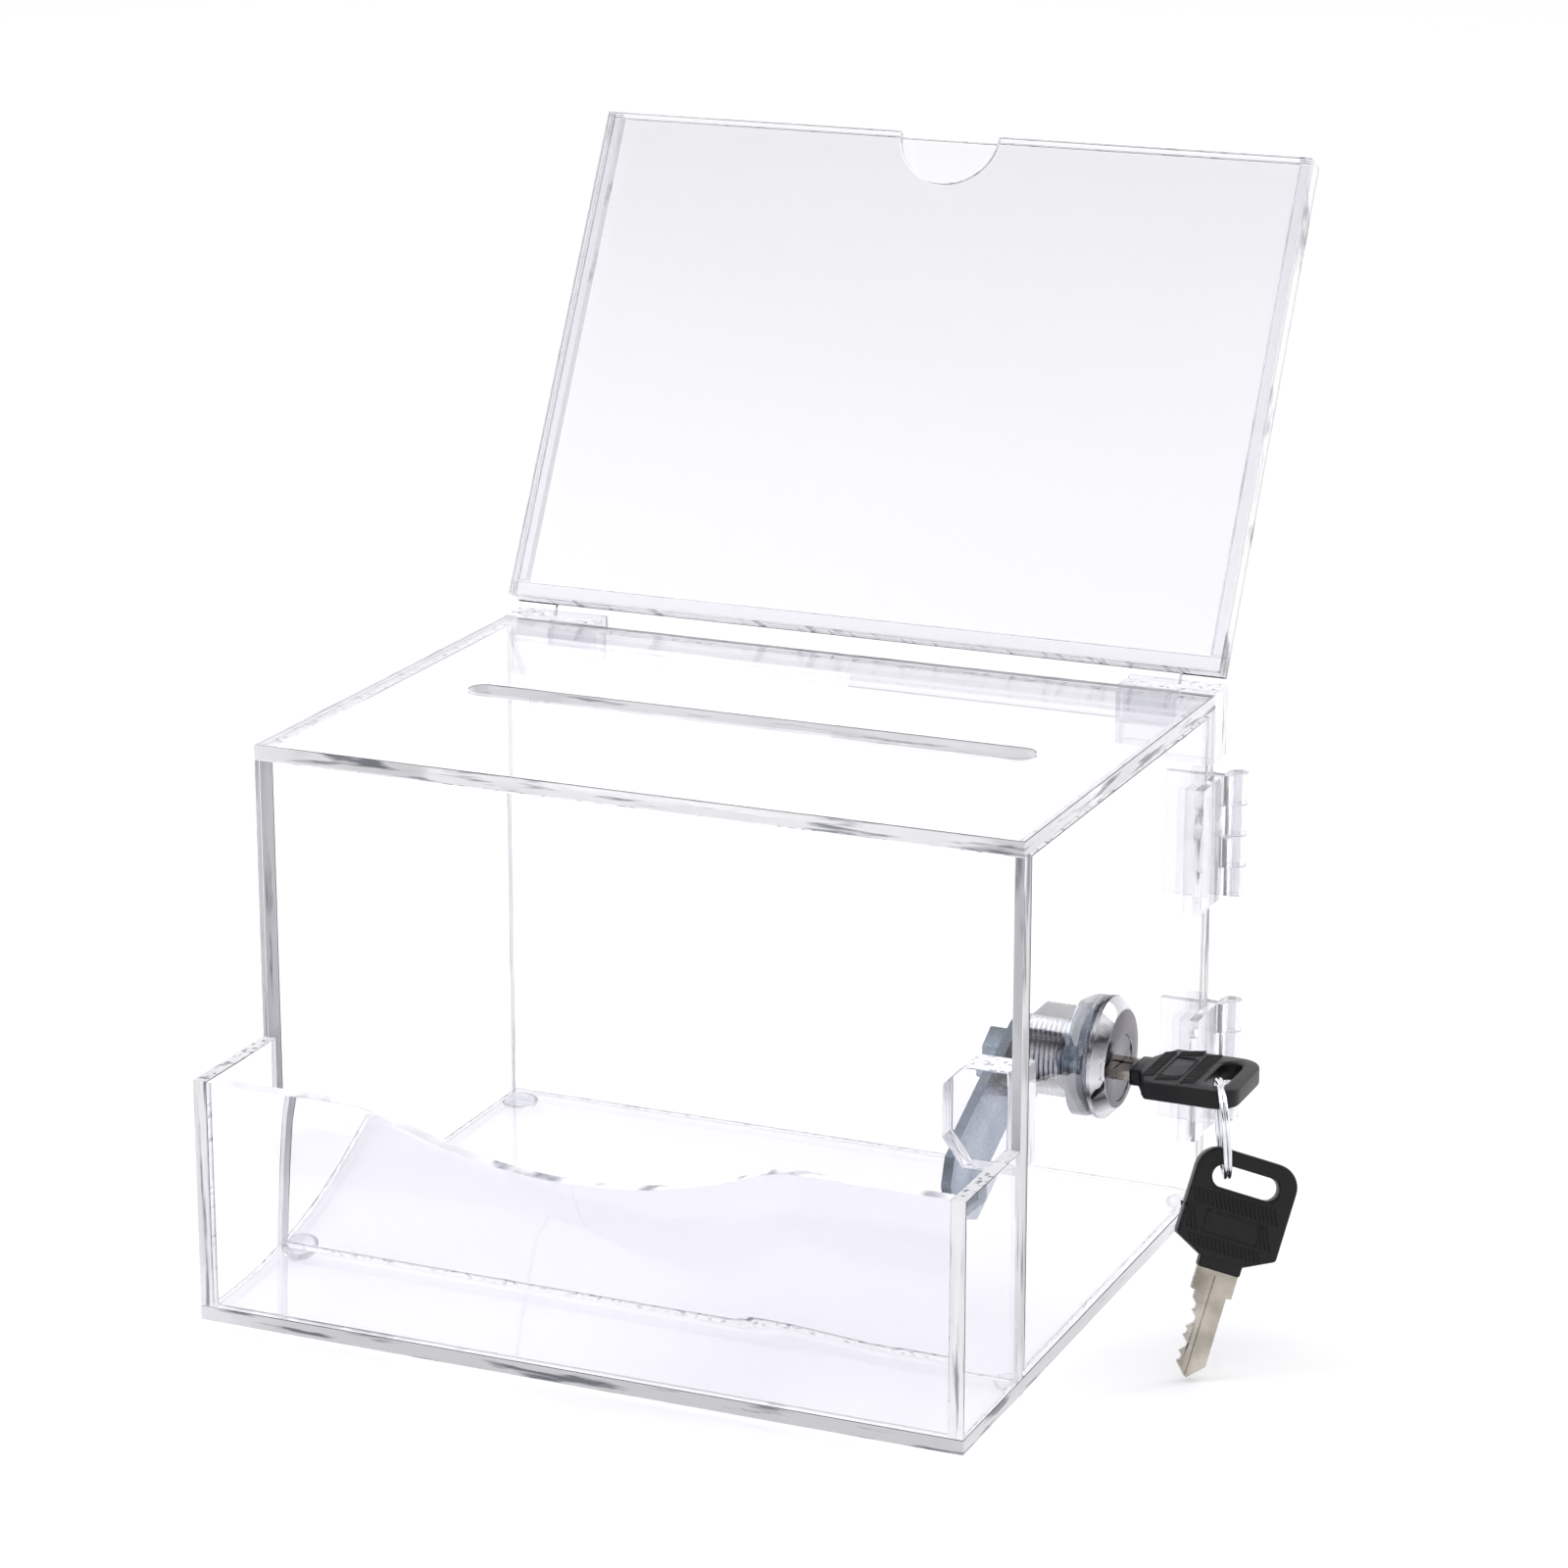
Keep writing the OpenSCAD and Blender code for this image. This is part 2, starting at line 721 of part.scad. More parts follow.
module key_blade_shape() {
    tip = -blade_l;
    root = -blade_head_l;
    half = blade_w / 2;
    cut_start = root - 3;
    difference() {
        translate([0, 0, -blade_t / 2]) linear_extrude(blade_t)
            difference() {
                union() {
                    translate([root, -blade_head_w / 2]) square([blade_head_l, blade_head_w]);
                    polygon([[root + over, -half], [root + over, half], [tip + key_point, half],
                        [tip, 0], [tip + key_point, -half]]);
                    translate([-over, -tang_w / 2]) square([tang_l + over, tang_w]);
                }
                for (i = [0 : cut_count - 1])
                    key_cut(cut_start - i * cut_pitch, half, cut_depths[i]);
            }
        for (side = [-1, 1])
            translate([tip - over, -groove_w / 2 + side * 0.8, side > 0 ? blade_t / 2 - groove_d
                : -blade_t / 2 - over])
                cube([blade_l - 3 + over, groove_w, groove_d + over]);
    }
}

// One notch of the bitting, cut from the edge at Y = edge
module key_cut(x, edge, depth) {
    polygon([[x - cut_flat / 2 - depth - over, edge + over], [x - cut_flat / 2, edge - depth],
        [x + cut_flat / 2, edge - depth], [x + cut_flat / 2 + depth + over, edge + over]]);
}

module in_lock() {
    translate([bow_x0, lock_y, plug_z]) children();
}

module on_ring() {
    translate(spare_at) rotate([-spare_lean, spare_roll, spare_yaw])
        rotate([0, -90, 0]) rotate([90, 0, 0])
            translate([-key_hang_x(), -spare_side, 0]) children();
}

module key_blade() {
    color(nickel) from_corner() in_lock() key_blade_shape();
}

module key_bow() {
    color(black) from_corner() in_lock() key_bow_shape();
}

module key_ring() {
    color(zinc) from_corner()
        translate([ring_x, rim_y, ring_top]) rotate([0, 90 - ring_tilt, ring_turn])
            translate([ring_inner_r, 0, 0]) rotate_extrude()
                translate([ring_mid_r, 0])
                    for (side = [-1, 1]) {
                        translate([0, side * ring_wire / 2]) circle(ring_wire / 2, $fn = 24);
                        square([ring_wire / 2, ring_wire], center = true);
                    }
}

module spare_key_blade() {
    color(nickel) from_corner() on_ring() key_blade_shape();
}

module spare_key_bow() {
    color(black) from_corner() on_ring() key_bow_shape();
}

// ---- Sign holder ----

// Slope coordinates: X across, Y up the slope, Z forward out of the front sheet
module on_slope() {
    translate([sign_x0, sign_y, sign_z]) rotate([90 - sign_lean, 0, 0]) children();
}

module sign_front_sheet() {
    color(clear) from_corner()
        on_slope() translate([0, 0, -sign_sheet_t]) linear_extrude(sign_sheet_t)
            difference() {
                square([sign_w, sign_h]);
                translate([sign_w / 2, sign_h]) circle(notch_r);
            }
}

// The back sheet narrows to a tongue at its foot, which is bent upright for the brackets
module sign_back_sheet() {
    color(clear) from_corner() {
        on_slope() translate([0, 0, -sign_total_t]) cube([sign_w, sign_h, sign_sheet_t]);
        along_x(sign_x0 + tongue_inset, sign_x0 + sign_w - tongue_inset) {
            straight_h = bend_z - bend_tangent - tongue_z;
            centre = [tongue_y + sign_sheet_t + bend_r, tongue_z + straight_h];
            translate([tongue_y, tongue_z]) square([sign_sheet_t, straight_h]);
            difference() {
                translate(centre) circle(bend_r + sign_sheet_t);
                translate(centre) circle(bend_r);
                translate([tongue_y - over, centre[1] - 3 * bend_r - over])
                    square([6 * bend_r, 3 * bend_r + over]);
                translate(centre) rotate(-sign_lean)
                    translate([-3 * bend_r, 0]) square([6 * bend_r, 3 * bend_r]);
            }
            translate(centre) rotate(-sign_lean)
                translate([-bend_r - sign_sheet_t, 0]) square([sign_sheet_t, slope_gap(centre)]);
        }
    }
}

// Length of the sloping stretch between the end of the bend and the full-width sheet
function slope_gap(centre) = (sign_z - centre[1]) * cos_lean + (sign_y - centre[0]) * sin_lean + over;

// Spacer strips between the sheets
module sign_spacer(x, y, width, height) {
    on_slope() translate([x, y, -sign_sheet_t - card_gap]) cube([width, height, card_gap]);
}

module sign_left_strip() {
    color(clear) from_corner()
        sign_spacer(0, bottom_strip_h, strip_w, sign_h - bottom_strip_h);
}

module sign_right_strip() {
    color(clear) from_corner()
        sign_spacer(sign_w - strip_w, bottom_strip_h, strip_w, sign_h - bottom_strip_h);
}

module sign_bottom_strip() {
    color(clear) from_corner() sign_spacer(0, 0, sign_w, bottom_strip_h);
}

base_plate();
left_wall();
front_wall();
back_wall();
top_panel();
strike_block();
pocket_left_wall();
pocket_right_wall();
pocket_front_wall();
sign_bracket_left();
sign_bracket_right();
feet();
hinge_box_leaf_upper();
hinge_box_leaf_lower();
hinge_pin_upper();
hinge_pin_lower();
door_panel();
hinge_door_leaf_upper();
hinge_door_leaf_lower();
lock_housing();
lock_nut();
lock_plug();
lock_wafers();
wafer_springs();
lock_cam();
cam_washer();
cam_bolt();
key_blade();
key_bow();
key_ring();
spare_key_blade();
spare_key_bow();
sign_front_sheet();
sign_back_sheet();
sign_left_strip();
sign_right_strip();
sign_bottom_strip();
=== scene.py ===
"""Looks of the clear acrylic donation box: finished meshes, materials, floor, light and camera.

Everything is in metres, in the row frame. mm turns a length given in millimetres into metres.
"""
import math

import bmesh
import bpy
from mathutils import Matrix, Vector


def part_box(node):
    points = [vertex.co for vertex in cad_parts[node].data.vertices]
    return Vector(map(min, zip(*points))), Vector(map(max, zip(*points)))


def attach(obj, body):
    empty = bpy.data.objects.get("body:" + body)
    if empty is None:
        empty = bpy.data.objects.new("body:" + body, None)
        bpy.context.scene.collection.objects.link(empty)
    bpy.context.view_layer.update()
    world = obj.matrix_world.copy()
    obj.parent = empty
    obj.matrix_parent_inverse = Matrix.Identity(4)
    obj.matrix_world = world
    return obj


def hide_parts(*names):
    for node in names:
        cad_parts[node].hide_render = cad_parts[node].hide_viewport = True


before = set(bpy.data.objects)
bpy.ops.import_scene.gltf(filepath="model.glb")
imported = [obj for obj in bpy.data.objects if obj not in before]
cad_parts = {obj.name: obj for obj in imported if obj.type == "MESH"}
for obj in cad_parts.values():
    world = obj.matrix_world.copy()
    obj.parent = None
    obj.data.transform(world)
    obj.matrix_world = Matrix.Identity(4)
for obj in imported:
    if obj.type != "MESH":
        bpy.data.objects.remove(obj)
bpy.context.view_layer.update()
mm = 0.001


# ---- Places taken from the frame ----

front_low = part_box("front_wall")[0]
# The box's own corner: left face, front face of the main box, underside of the base plate
corner = Vector((front_low.x, front_low.y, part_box("base_plate")[0].z))
floor_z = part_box("feet")[0].z
# How far the sign leans back from upright
sign_lean = math.radians(28.6)
slope_normal = Vector((0, -math.cos(sign_lean), math.sin(sign_lean)))


# ---- Node helpers ----

def colour_ramp(nodes, links, source, stops):
    """A colour ramp over (position, colour or grey) stops, driven by source."""
    node = nodes.new("ShaderNodeValToRGB")
    stop_list = node.color_ramp.elements
    while len(stop_list) < len(stops):
        stop_list.new(0.5)
    for stop, (at, value) in zip(stop_list, stops):
        stop.position = at
        colour = value if isinstance(value, tuple) else (value, value, value)
        stop.color = (*colour, 1)
    links.new(source, node.inputs["Fac"])
    return node.outputs["Color"]


def blend(nodes, links, kind, factor, first, second):
    """Blends two colours; each of factor, first and second is a socket or a fixed value."""
    node = nodes.new("ShaderNodeMix")
    node.data_type = "RGBA"
    node.blend_type = kind
    for socket, value in (("Factor", factor), ("A", first), ("B", second)):
        if isinstance(value, bpy.types.NodeSocket):
            links.new(value, node.inputs[socket])
        else:
            node.inputs[socket].default_value = value
    return node.outputs["Result"]


class Paint:
    """A material and short calls that add and join its nodes."""

    def __init__(self, name):
        self.material = bpy.data.materials.new(name)
        self.material.use_nodes = True
        self.nodes = self.material.node_tree.nodes
        self.links = self.material.node_tree.links
        self.nodes.clear()
        self.output = self.nodes.new("ShaderNodeOutputMaterial")
        self.shader = self.nodes.new("ShaderNodeBsdfPrincipled")
        self.links.new(self.shader.outputs[0], self.output.inputs["Surface"])
        self.place = self.nodes.new("ShaderNodeTexCoord").outputs["Object"]

    def set(self, **values):
        """Sets the shader's own sockets; an underscore stands for a space."""
        for key, value in values.items():
            self.shader.inputs[key.replace("_", " ")].default_value = value
        return self

    def stretched(self, scale):
        """Object coordinates stretched by a different amount along each axis."""
        node = self.nodes.new("ShaderNodeMapping")
        node.inputs["Scale"].default_value = scale
        self.links.new(self.place, node.inputs["Vector"])
        return node.outputs["Vector"]

    def noise(self, scale, detail, place=None):
        node = self.nodes.new("ShaderNodeTexNoise")
        node.inputs["Scale"].default_value = scale
        node.inputs["Detail"].default_value = detail
        self.links.new(place or self.place, node.inputs["Vector"])
        return node.outputs["Fac"]

    def ramp(self, source, stops):
        return colour_ramp(self.nodes, self.links, source, stops)

    def painted_reflection_bands(self, low):
        """Painted reflection: bands between white and the grey low, over the vertical part of the
        normal.
        """
        split = self.nodes.new("ShaderNodeSeparateXYZ")
        normal = self.nodes.new("ShaderNodeTexCoord").outputs["Normal"]
        self.links.new(normal, split.inputs[0])
        spread = self.nodes.new("ShaderNodeMapRange")
        spread.inputs["From Min"].default_value = -1
        self.links.new(split.outputs["Z"], spread.inputs["Value"])
        stops = [(0.0, low), (0.22, 0.9), (0.34, low), (0.46, 1.0), (0.60, 0.8), (0.70, low),
                 (0.80, 1.0), (0.92, 0.55), (1.0, low)]
        return self.ramp(spread.outputs["Result"], stops)

    def bump(self, source, distance, strength):
        node = self.nodes.new("ShaderNodeBump")
        node.inputs["Distance"].default_value = distance
        node.inputs["Strength"].default_value = strength
        self.links.new(source, node.inputs["Height"])
        self.links.new(node.outputs["Normal"], self.shader.inputs["Normal"])

    def drive(self, socket, source):
        self.links.new(source, self.shader.inputs[socket])

    def let_lamps_through(self, tint):
        """Light passes through the solid for shadows, as it does through clear sheet."""
        path = self.nodes.new("ShaderNodeLightPath")
        clear = self.nodes.new("ShaderNodeBsdfTransparent")
        clear.inputs["Color"].default_value = (*tint, 1)
        mix = self.nodes.new("ShaderNodeMixShader")
        self.links.new(path.outputs["Is Shadow Ray"], mix.inputs["Fac"])
        self.links.new(self.shader.outputs[0], mix.inputs[1])
        self.links.new(clear.outputs[0], mix.inputs[2])
        self.links.new(mix.outputs[0], self.output.inputs["Surface"])


# ---- Materials ----

ACRYLIC_IOR = 1.49


def acrylic_face():
    """Polished face of the clear sheet, with a trace of handling haze."""
    paint = Paint("acrylic_face")
    paint.set(Base_Color=(0.943, 0.941, 0.958, 1), IOR=ACRYLIC_IOR, Transmission_Weight=1)
    haze = paint.noise(60, 4)
    paint.drive("Roughness", paint.ramp(haze, [(0.45, 0.0), (0.8, 0.02)]))
    paint.let_lamps_through((0.965, 0.962, 0.975))
    return paint.material


def acrylic_block():
    """Small clear moulding that scatters a little more light than a sheet."""
    paint = Paint("acrylic_block")
    paint.set(Base_Color=(0.88, 0.88, 0.90, 1), IOR=ACRYLIC_IOR, Transmission_Weight=0.9)
    haze = paint.noise(300, 4)
    paint.drive("Roughness", paint.ramp(haze, [(0.3, 0.02), (0.7, 0.12)]))
    paint.let_lamps_through((0.93, 0.93, 0.95))
    return paint.material


def acrylic_edge(name, along):
    """Saw-cut edge, part frosted white and part clear, with dark lines painted into its colour as
    reflection of dark surroundings.

    along gives how finely the streaks repeat in X, Y and Z."""
    paint = Paint(name)
    paint.set(IOR=ACRYLIC_IOR, Transmission_Weight=0.42)
    ripples_and_painted_streaks = paint.noise(1, 4, paint.stretched(along))
    # The dark grey is painted reflection of dark surroundings; the near white is the real frosted
    # saw cut
    painted_dark_streak, frost = (0.24, 0.25, 0.29), (0.97, 0.97, 0.99)
    paint.drive("Base Color", paint.ramp(ripples_and_painted_streaks, [(0.35, painted_dark_streak), (0.45, frost)]))
    paint.drive("Roughness", paint.ramp(ripples_and_painted_streaks, [(0.40, 0.04), (0.7, 0.22)]))
    paint.bump(ripples_and_painted_streaks, 0.25 * mm, 0.6)
    paint.let_lamps_through((0.90, 0.90, 0.92))
    return paint.material


def clear_rubber():
    """Cloudy clear rubber of the stick-on feet."""
    paint = Paint("clear_rubber")
    paint.set(Base_Color=(0.93, 0.94, 0.95, 1), IOR=1.43, Transmission_Weight=1)
    cloud = paint.noise(900, 3)
    paint.drive("Roughness", paint.ramp(cloud, [(0.3, 0.12), (0.7, 0.28)]))
    paint.let_lamps_through((0.85, 0.86, 0.88))
    return paint.material


def metal(name, dark, light, rough, grain, grain_scale=(1, 1, 1), painted_streaks=0.0):
    """Metal whose colour drifts between dark and light, with a fine grain in its gloss.

    rough holds the lowest and highest roughness, and grain the fineness of the grain.
    The last argument adds darker bands by the way a face is turned: painted reflection, like the
    studio surroundings that polished metal mirrors."""
    paint = Paint(name)
    paint.set(Metallic=1.0)
    drift = paint.noise(110, 3)
    colour = paint.ramp(drift, [(0.35, dark), (0.65, light)])
    # Painted reflection: the colour is darkened in bands by how each face is turned
    if painted_streaks:
        bands = paint.painted_reflection_bands(1 - painted_streaks)
        colour = blend(paint.nodes, paint.links, "MULTIPLY", 1.0, colour, bands)
    paint.drive("Base Color", colour)
    lines = paint.noise(grain, 3, paint.stretched(grain_scale))
    paint.drive("Roughness", paint.ramp(lines, [(0.3, rough[0]), (0.7, rough[1])]))
    paint.bump(lines, 0.01 * mm, 0.5)
    return paint.material


def black_plastic():
    """Satin black moulding with a fine moulded grain."""
    paint = Paint("black_plastic")
    paint.set(Specular_IOR_Level=0.25)
    grain = paint.noise(3500, 2)
    dark, light = (0.003, 0.003, 0.004), (0.008, 0.008, 0.009)
    paint.drive("Base Color", paint.ramp(grain, [(0.3, dark), (0.7, light)]))
    paint.drive("Roughness", paint.ramp(grain, [(0.3, 0.30), (0.7, 0.44)]))
    paint.bump(grain, 0.05 * mm, 0.5)
    return paint.material


FACE = acrylic_face()
EDGE = {
    "upright": acrylic_edge("acrylic_edge_upright", (700, 700, 45)),
    "level": acrylic_edge("acrylic_edge_level", (60, 60, 700)),
    "slope": acrylic_edge("acrylic_edge_slope", (500, 60, 60)),
}
BLOCK = acrylic_block()
RUBBER = clear_rubber()
# Chrome carries bands of painted reflection over its colour
CHROME = metal("chrome", (0.50, 0.50, 0.54), (0.76, 0.76, 0.80), (0.04, 0.10), 2600, painted_streaks=0.93)
LOCK_FACE = metal("lock_face", (0.055, 0.05, 0.065), (0.10, 0.09, 0.115), (0.12, 0.22), 1800)
# Zinc plate also carries bands of painted reflection over its colour
ZINC = metal("zinc_plate", (0.17, 0.23, 0.31), (0.36, 0.42, 0.48), (0.14, 0.30), 1500, painted_streaks=0.75)
NICKEL = metal("nickel", (0.24, 0.215, 0.185), (0.50, 0.46, 0.41), (0.18, 0.32), 2200, (0.15, 1, 1))
BRASS = metal("brass", (0.62, 0.45, 0.20), (0.80, 0.63, 0.33), (0.2, 0.35), 2200)
WIRE = metal("ring_steel", (0.62, 0.63, 0.66), (0.90, 0.91, 0.94), (0.05, 0.12), 2600)
BLACK = black_plastic()


# ---- Finished copies of the CAD solids ----

def shrink(bm, gap):
    """Moves every face inwards by gap, so that glued sheets keep a hairline between them."""
    moves = []
    for vert in bm.verts:
        normals = []
        for face in vert.link_faces:
            if all(face.normal.dot(n) < 0.999 for n in normals):
                normals.append(face.normal.copy())
        # Least squares: the move m with n . m = -gap for each face's normal n
        ata = Matrix(((0, 0, 0),) * 3)
        atb = Vector((0, 0, 0))
        for n in normals:
            atb -= gap * n
            for i in range(3):
                for j in range(3):
                    ata[i][j] += n[i] * n[j]
        for i in range(3):
            ata[i][i] += 1e-6
        moves.append(ata.inverted() @ atb)
    for vert, move in zip(bm.verts, moves):
        vert.co += move


def link(name, bm, materials, body, node, smooth):
    """Makes a finished piece from bm, which then stands for the CAD node.

    Edges that turn by more than smooth degrees are shaded as creases."""
    for face in bm.faces:
        face.smooth = True
    mesh = bpy.data.meshes.new(name)
    bm.to_mesh(mesh)
    bm.free()
    for material in materials:
        mesh.materials.append(material)
    mesh.set_sharp_from_angle(angle=math.radians(smooth))
    piece = bpy.data.objects.new(name, mesh)
    bpy.context.scene.collection.objects.link(piece)
    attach(piece, body)
    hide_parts(node)
    return piece


BEVEL_SEGMENTS = 2
# Edges that turn by more than this many degrees are rounded
SHARP_TURN = 32


def finish(node, body, material, bevel, gap=0.0, side=None, is_side=None, smooth=20):
    """Copies a CAD solid, rounds its sharp edges and gives it its materials.

    Faces for which is_side(normal) holds take the side material. Edges that still turn by
    more than smooth degrees are shaded as creases."""
    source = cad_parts[node]
    bm = bmesh.new()
    bm.from_mesh(source.data)
    bmesh.ops.remove_doubles(bm, verts=bm.verts, dist=1e-6)
    bmesh.ops.dissolve_limit(bm, angle_limit=math.radians(0.6), verts=bm.verts, edges=bm.edges)
    bm.normal_update()
    if gap:
        shrink(bm, gap)
        bm.normal_update()
    if bevel:
        sharp = [e for e in bm.edges if len(e.link_faces) == 2
                 and e.calc_face_angle(0) > math.radians(SHARP_TURN)]
        bmesh.ops.bevel(bm, geom=sharp, offset=bevel, segments=BEVEL_SEGMENTS, profile=0.5,
                        affect="EDGES", clamp_overlap=True)
        bm.normal_update()
    if is_side:
        for face in bm.faces:
            face.material_index = int(is_side(face.normal))
    materials = [material] + ([side] if side else [])
    return link(node + "_finished", bm, materials, body, node, smooth)


X, Y, Z = Vector((1, 0, 0)), Vector((0, 1, 0)), Vector((0, 0, 1))
GLUE_GAP = 0.03 * mm
SHEET_BEVEL = 0.22 * mm
# node: (body, direction of its thickness, edge material)
SHEETS = {
    "base_plate": ("box", Z, "level"),
    "left_wall": ("box", X, "upright"),
    "front_wall": ("box", Y, "upright"),
    "back_wall": ("box", Y, "upright"),
    "top_panel": ("box", Z, "level"),
    "strike_block": ("box", Y, "upright"),
    "pocket_left_wall": ("box", X, "upright"),
    "pocket_right_wall": ("box", X, "upright"),
    "pocket_front_wall": ("box", Y, "level"),
    "sign_bracket_left": ("box", Y, "upright"),
    "sign_bracket_right": ("box", Y, "upright"),
    "door_panel": ("door", X, "upright"),
    "sign_front_sheet": ("sign", slope_normal, "slope"),
    "sign_back_sheet": ("sign", slope_normal, "slope"),
    "sign_left_strip": ("sign", slope_normal, "slope"),
    "sign_right_strip": ("sign", slope_normal, "slope"),
    "sign_bottom_strip": ("sign", slope_normal, "slope"),
}
for node, (body, axis, edge) in SHEETS.items():
    face = BLOCK if "bracket" in node else FACE
    finish(node, body, face, SHEET_BEVEL, gap=GLUE_GAP, side=EDGE[edge],
           is_side=lambda normal, axis=axis: abs(normal.dot(axis)) < 0.5)

# Part of each hinge: (body, bevel, gap)
HINGE_PARTS = {
    "box_leaf": ("box", 0.3 * mm, GLUE_GAP),
    "door_leaf": ("door", 0.3 * mm, GLUE_GAP),
    "pin": ("box", 0.1 * mm, 0),
}
for part, (body, bevel, gap) in HINGE_PARTS.items():
    for place in ("upper", "lower"):
        finish(f"hinge_{part}_{place}", body, BLOCK, bevel, gap=gap)
finish("feet", "box", RUBBER, 0.15 * mm, gap=GLUE_GAP, smooth=50)
finish("lock_housing", "door", CHROME, 0.12 * mm, side=LOCK_FACE,
       is_side=lambda normal: normal.x > 0.99)
finish("lock_nut", "door", ZINC, 0.25 * mm)
finish("lock_plug", "plug", CHROME, 0.1 * mm, side=LOCK_FACE,
       is_side=lambda normal: normal.x > 0.99)
finish("lock_wafers", "plug", BRASS, 0.05 * mm)
finish("wafer_springs", "plug", WIRE, 0, smooth=80)
finish("lock_cam", "plug", ZINC, 0.3 * mm)
finish("cam_washer", "plug", ZINC, 0.12 * mm)
finish("cam_bolt", "plug", ZINC, 0.25 * mm)
finish("key_blade", "key", NICKEL, 0.12 * mm)
finish("spare_key_blade", "spare_key", NICKEL, 0.12 * mm)


# ---- Key bows and split ring, built anew ----

BOW_L, BOW_W, BOW_T = 20.8 * mm, 20 * mm, 4.2 * mm
# The bow's foot: width where it meets the collar, and length of the slanting shoulders
NECK_W, SHOULDER = 8.4 * mm, 2.9 * mm
# Height of the moulded ribs above the face
RAISED = 0.22 * mm


def arc(centre, radius, start, end, steps):
    """Points of an arc between two angles in degrees."""
    angles = [math.radians(start + (end - start) * i / steps) for i in range(steps + 1)]
    return [(centre[0] + radius * math.cos(a), centre[1] + radius * math.sin(a)) for a in angles]


def pad(bm, base, top, slope, outline):
    """A four-cornered pad from base to top; outline(inset) gives its corners in turn.

    slope is how much smaller all round its top is."""
    corners = []
    for z, inset in ((base, 0), (top, slope)):
        for x, y in outline(inset):
            corners.append(bm.verts.new((x, y, z)))
    quads = [(0, 1, 5, 4), (1, 2, 6, 5), (2, 3, 7, 6), (3, 0, 4, 7), (4, 5, 6, 7), (3, 2, 1, 0)]
    if top < base:
        quads = [quad[::-1] for quad in quads]
    for quad in quads:
        bm.faces.new([corners[i] for i in quad])


def bar(bm, low, high, base, top):
    """A straight raised bar between two corners."""
    pad(bm, base, top, 0.07 * mm, lambda inset: (
        (low[0] + inset, low[1] + inset), (high[0] - inset, low[1] + inset),
        (high[0] - inset, high[1] - inset), (low[0] + inset, high[1] - inset)))


def rib(bm, reach, y, width, base, top):
    """One slanting rib that runs along X from reach[0] to reach[1]."""
    slant = 0.45 * (reach[1] - reach[0])
    pad(bm, base, top, 0.1 * mm, lambda inset: (
        (reach[0] + inset, y + inset), (reach[1] - inset, y + slant + inset),
        (reach[1] - inset, y + slant + width - inset), (reach[0] + inset, y + width - inset)))


def bow_relief(bm, side):
    """Slanting ribs around a blank label frame, on the side facing +Z or -Z."""
    base = side * (BOW_T / 2 - RAISED - 0.05 * mm)
    top = side * BOW_T / 2
    label_low, label_high = (4.3 * mm, -5.6 * mm), (8.9 * mm, 5.6 * mm)
    line = 0.35 * mm
    bar(bm, label_low, (label_low[0] + line, label_high[1]), base, top)
    bar(bm, (label_high[0] - line, label_low[1]), label_high, base, top)
    for y in (label_low[1], label_high[1] - line):
        bar(bm, (label_low[0], y), (label_high[0], y + line), base, top)
    pitch, width = 0.85 * mm, 0.42 * mm
    # Rows of ribs on both sides of the label, and short columns beyond its ends
    for row_low, row_high, reach in ((1.5, 3.7, 7.2), (9.5, 12.3, 8.3)):
        y = -reach * mm
        while y < reach * mm:
            rib(bm, (row_low * mm, row_high * mm), y, width, base, top)
            y += pitch
    for sign in (-1, 1):
        for i in range(3):
            rib(bm, (4.4 * mm, 8.8 * mm), sign * (6.5 + 0.85 * i) * mm - width / 2, width, base, top)


def bow_mesh():
    """Rounded plate with a slot, a V-shaped foot and a collar, in key coordinates."""
    bm = bmesh.new()
    half, r = BOW_W / 2, 4.5 * mm
    outline = [(0, -NECK_W / 2), (SHOULDER, -half)]
    outline += arc((BOW_L - r, r - half), r, -90, 0, 10)
    outline += arc((BOW_L - r, half - r), r, 0, 90, 10)
    outline += [(SHOULDER, half), (0, NECK_W / 2)]
    slot_r, slot_x, slot_y = 2.2 * mm, BOW_L - 5.2 * mm, 4.4 * mm
    slot = arc((slot_x, slot_y), slot_r, 0, 180, 14) + arc((slot_x, -slot_y), slot_r, 180, 360, 14)
    low = RAISED - BOW_T / 2
    edges = []
    for loop in (outline, slot):
        verts = [bm.verts.new((x, y, low)) for x, y in loop]
        edges += [bm.edges.new((verts[i - 1], verts[i])) for i in range(len(verts))]
    bmesh.ops.triangle_fill(bm, use_beauty=True, use_dissolve=False, edges=edges)
    bmesh.ops.dissolve_limit(bm, angle_limit=0.01, verts=bm.verts, edges=bm.edges,
                             delimit={"NORMAL"})
    raised = bmesh.ops.extrude_face_region(bm, geom=bm.faces[:])["geom"]
    bmesh.ops.translate(bm, verts=[g for g in raised if isinstance(g, bmesh.types.BMVert)],
                        vec=(0, 0, BOW_T - 2 * RAISED))
    bmesh.ops.recalc_face_normals(bm, faces=bm.faces)
    rim = [e for e in bm.edges if len(e.link_faces) == 2 and e.calc_face_angle(0) > 0.5]
    bmesh.ops.bevel(bm, geom=rim, offset=0.55 * mm, segments=4, profile=0.5, affect="EDGES")
    collar = bmesh.ops.create_cube(bm, size=1)["verts"]
    bmesh.ops.scale(bm, verts=collar, vec=(2.6 * mm, NECK_W, 3.4 * mm))
    bmesh.ops.translate(bm, verts=collar, vec=(-0.7 * mm, 0, 0))
    bmesh.ops.bevel(bm, geom=list({e for v in collar for e in v.link_edges}), offset=0.5 * mm,
                    segments=3, profile=0.5, affect="EDGES")
    for side in (-1, 1):
        bow_relief(bm, side)
    return bm


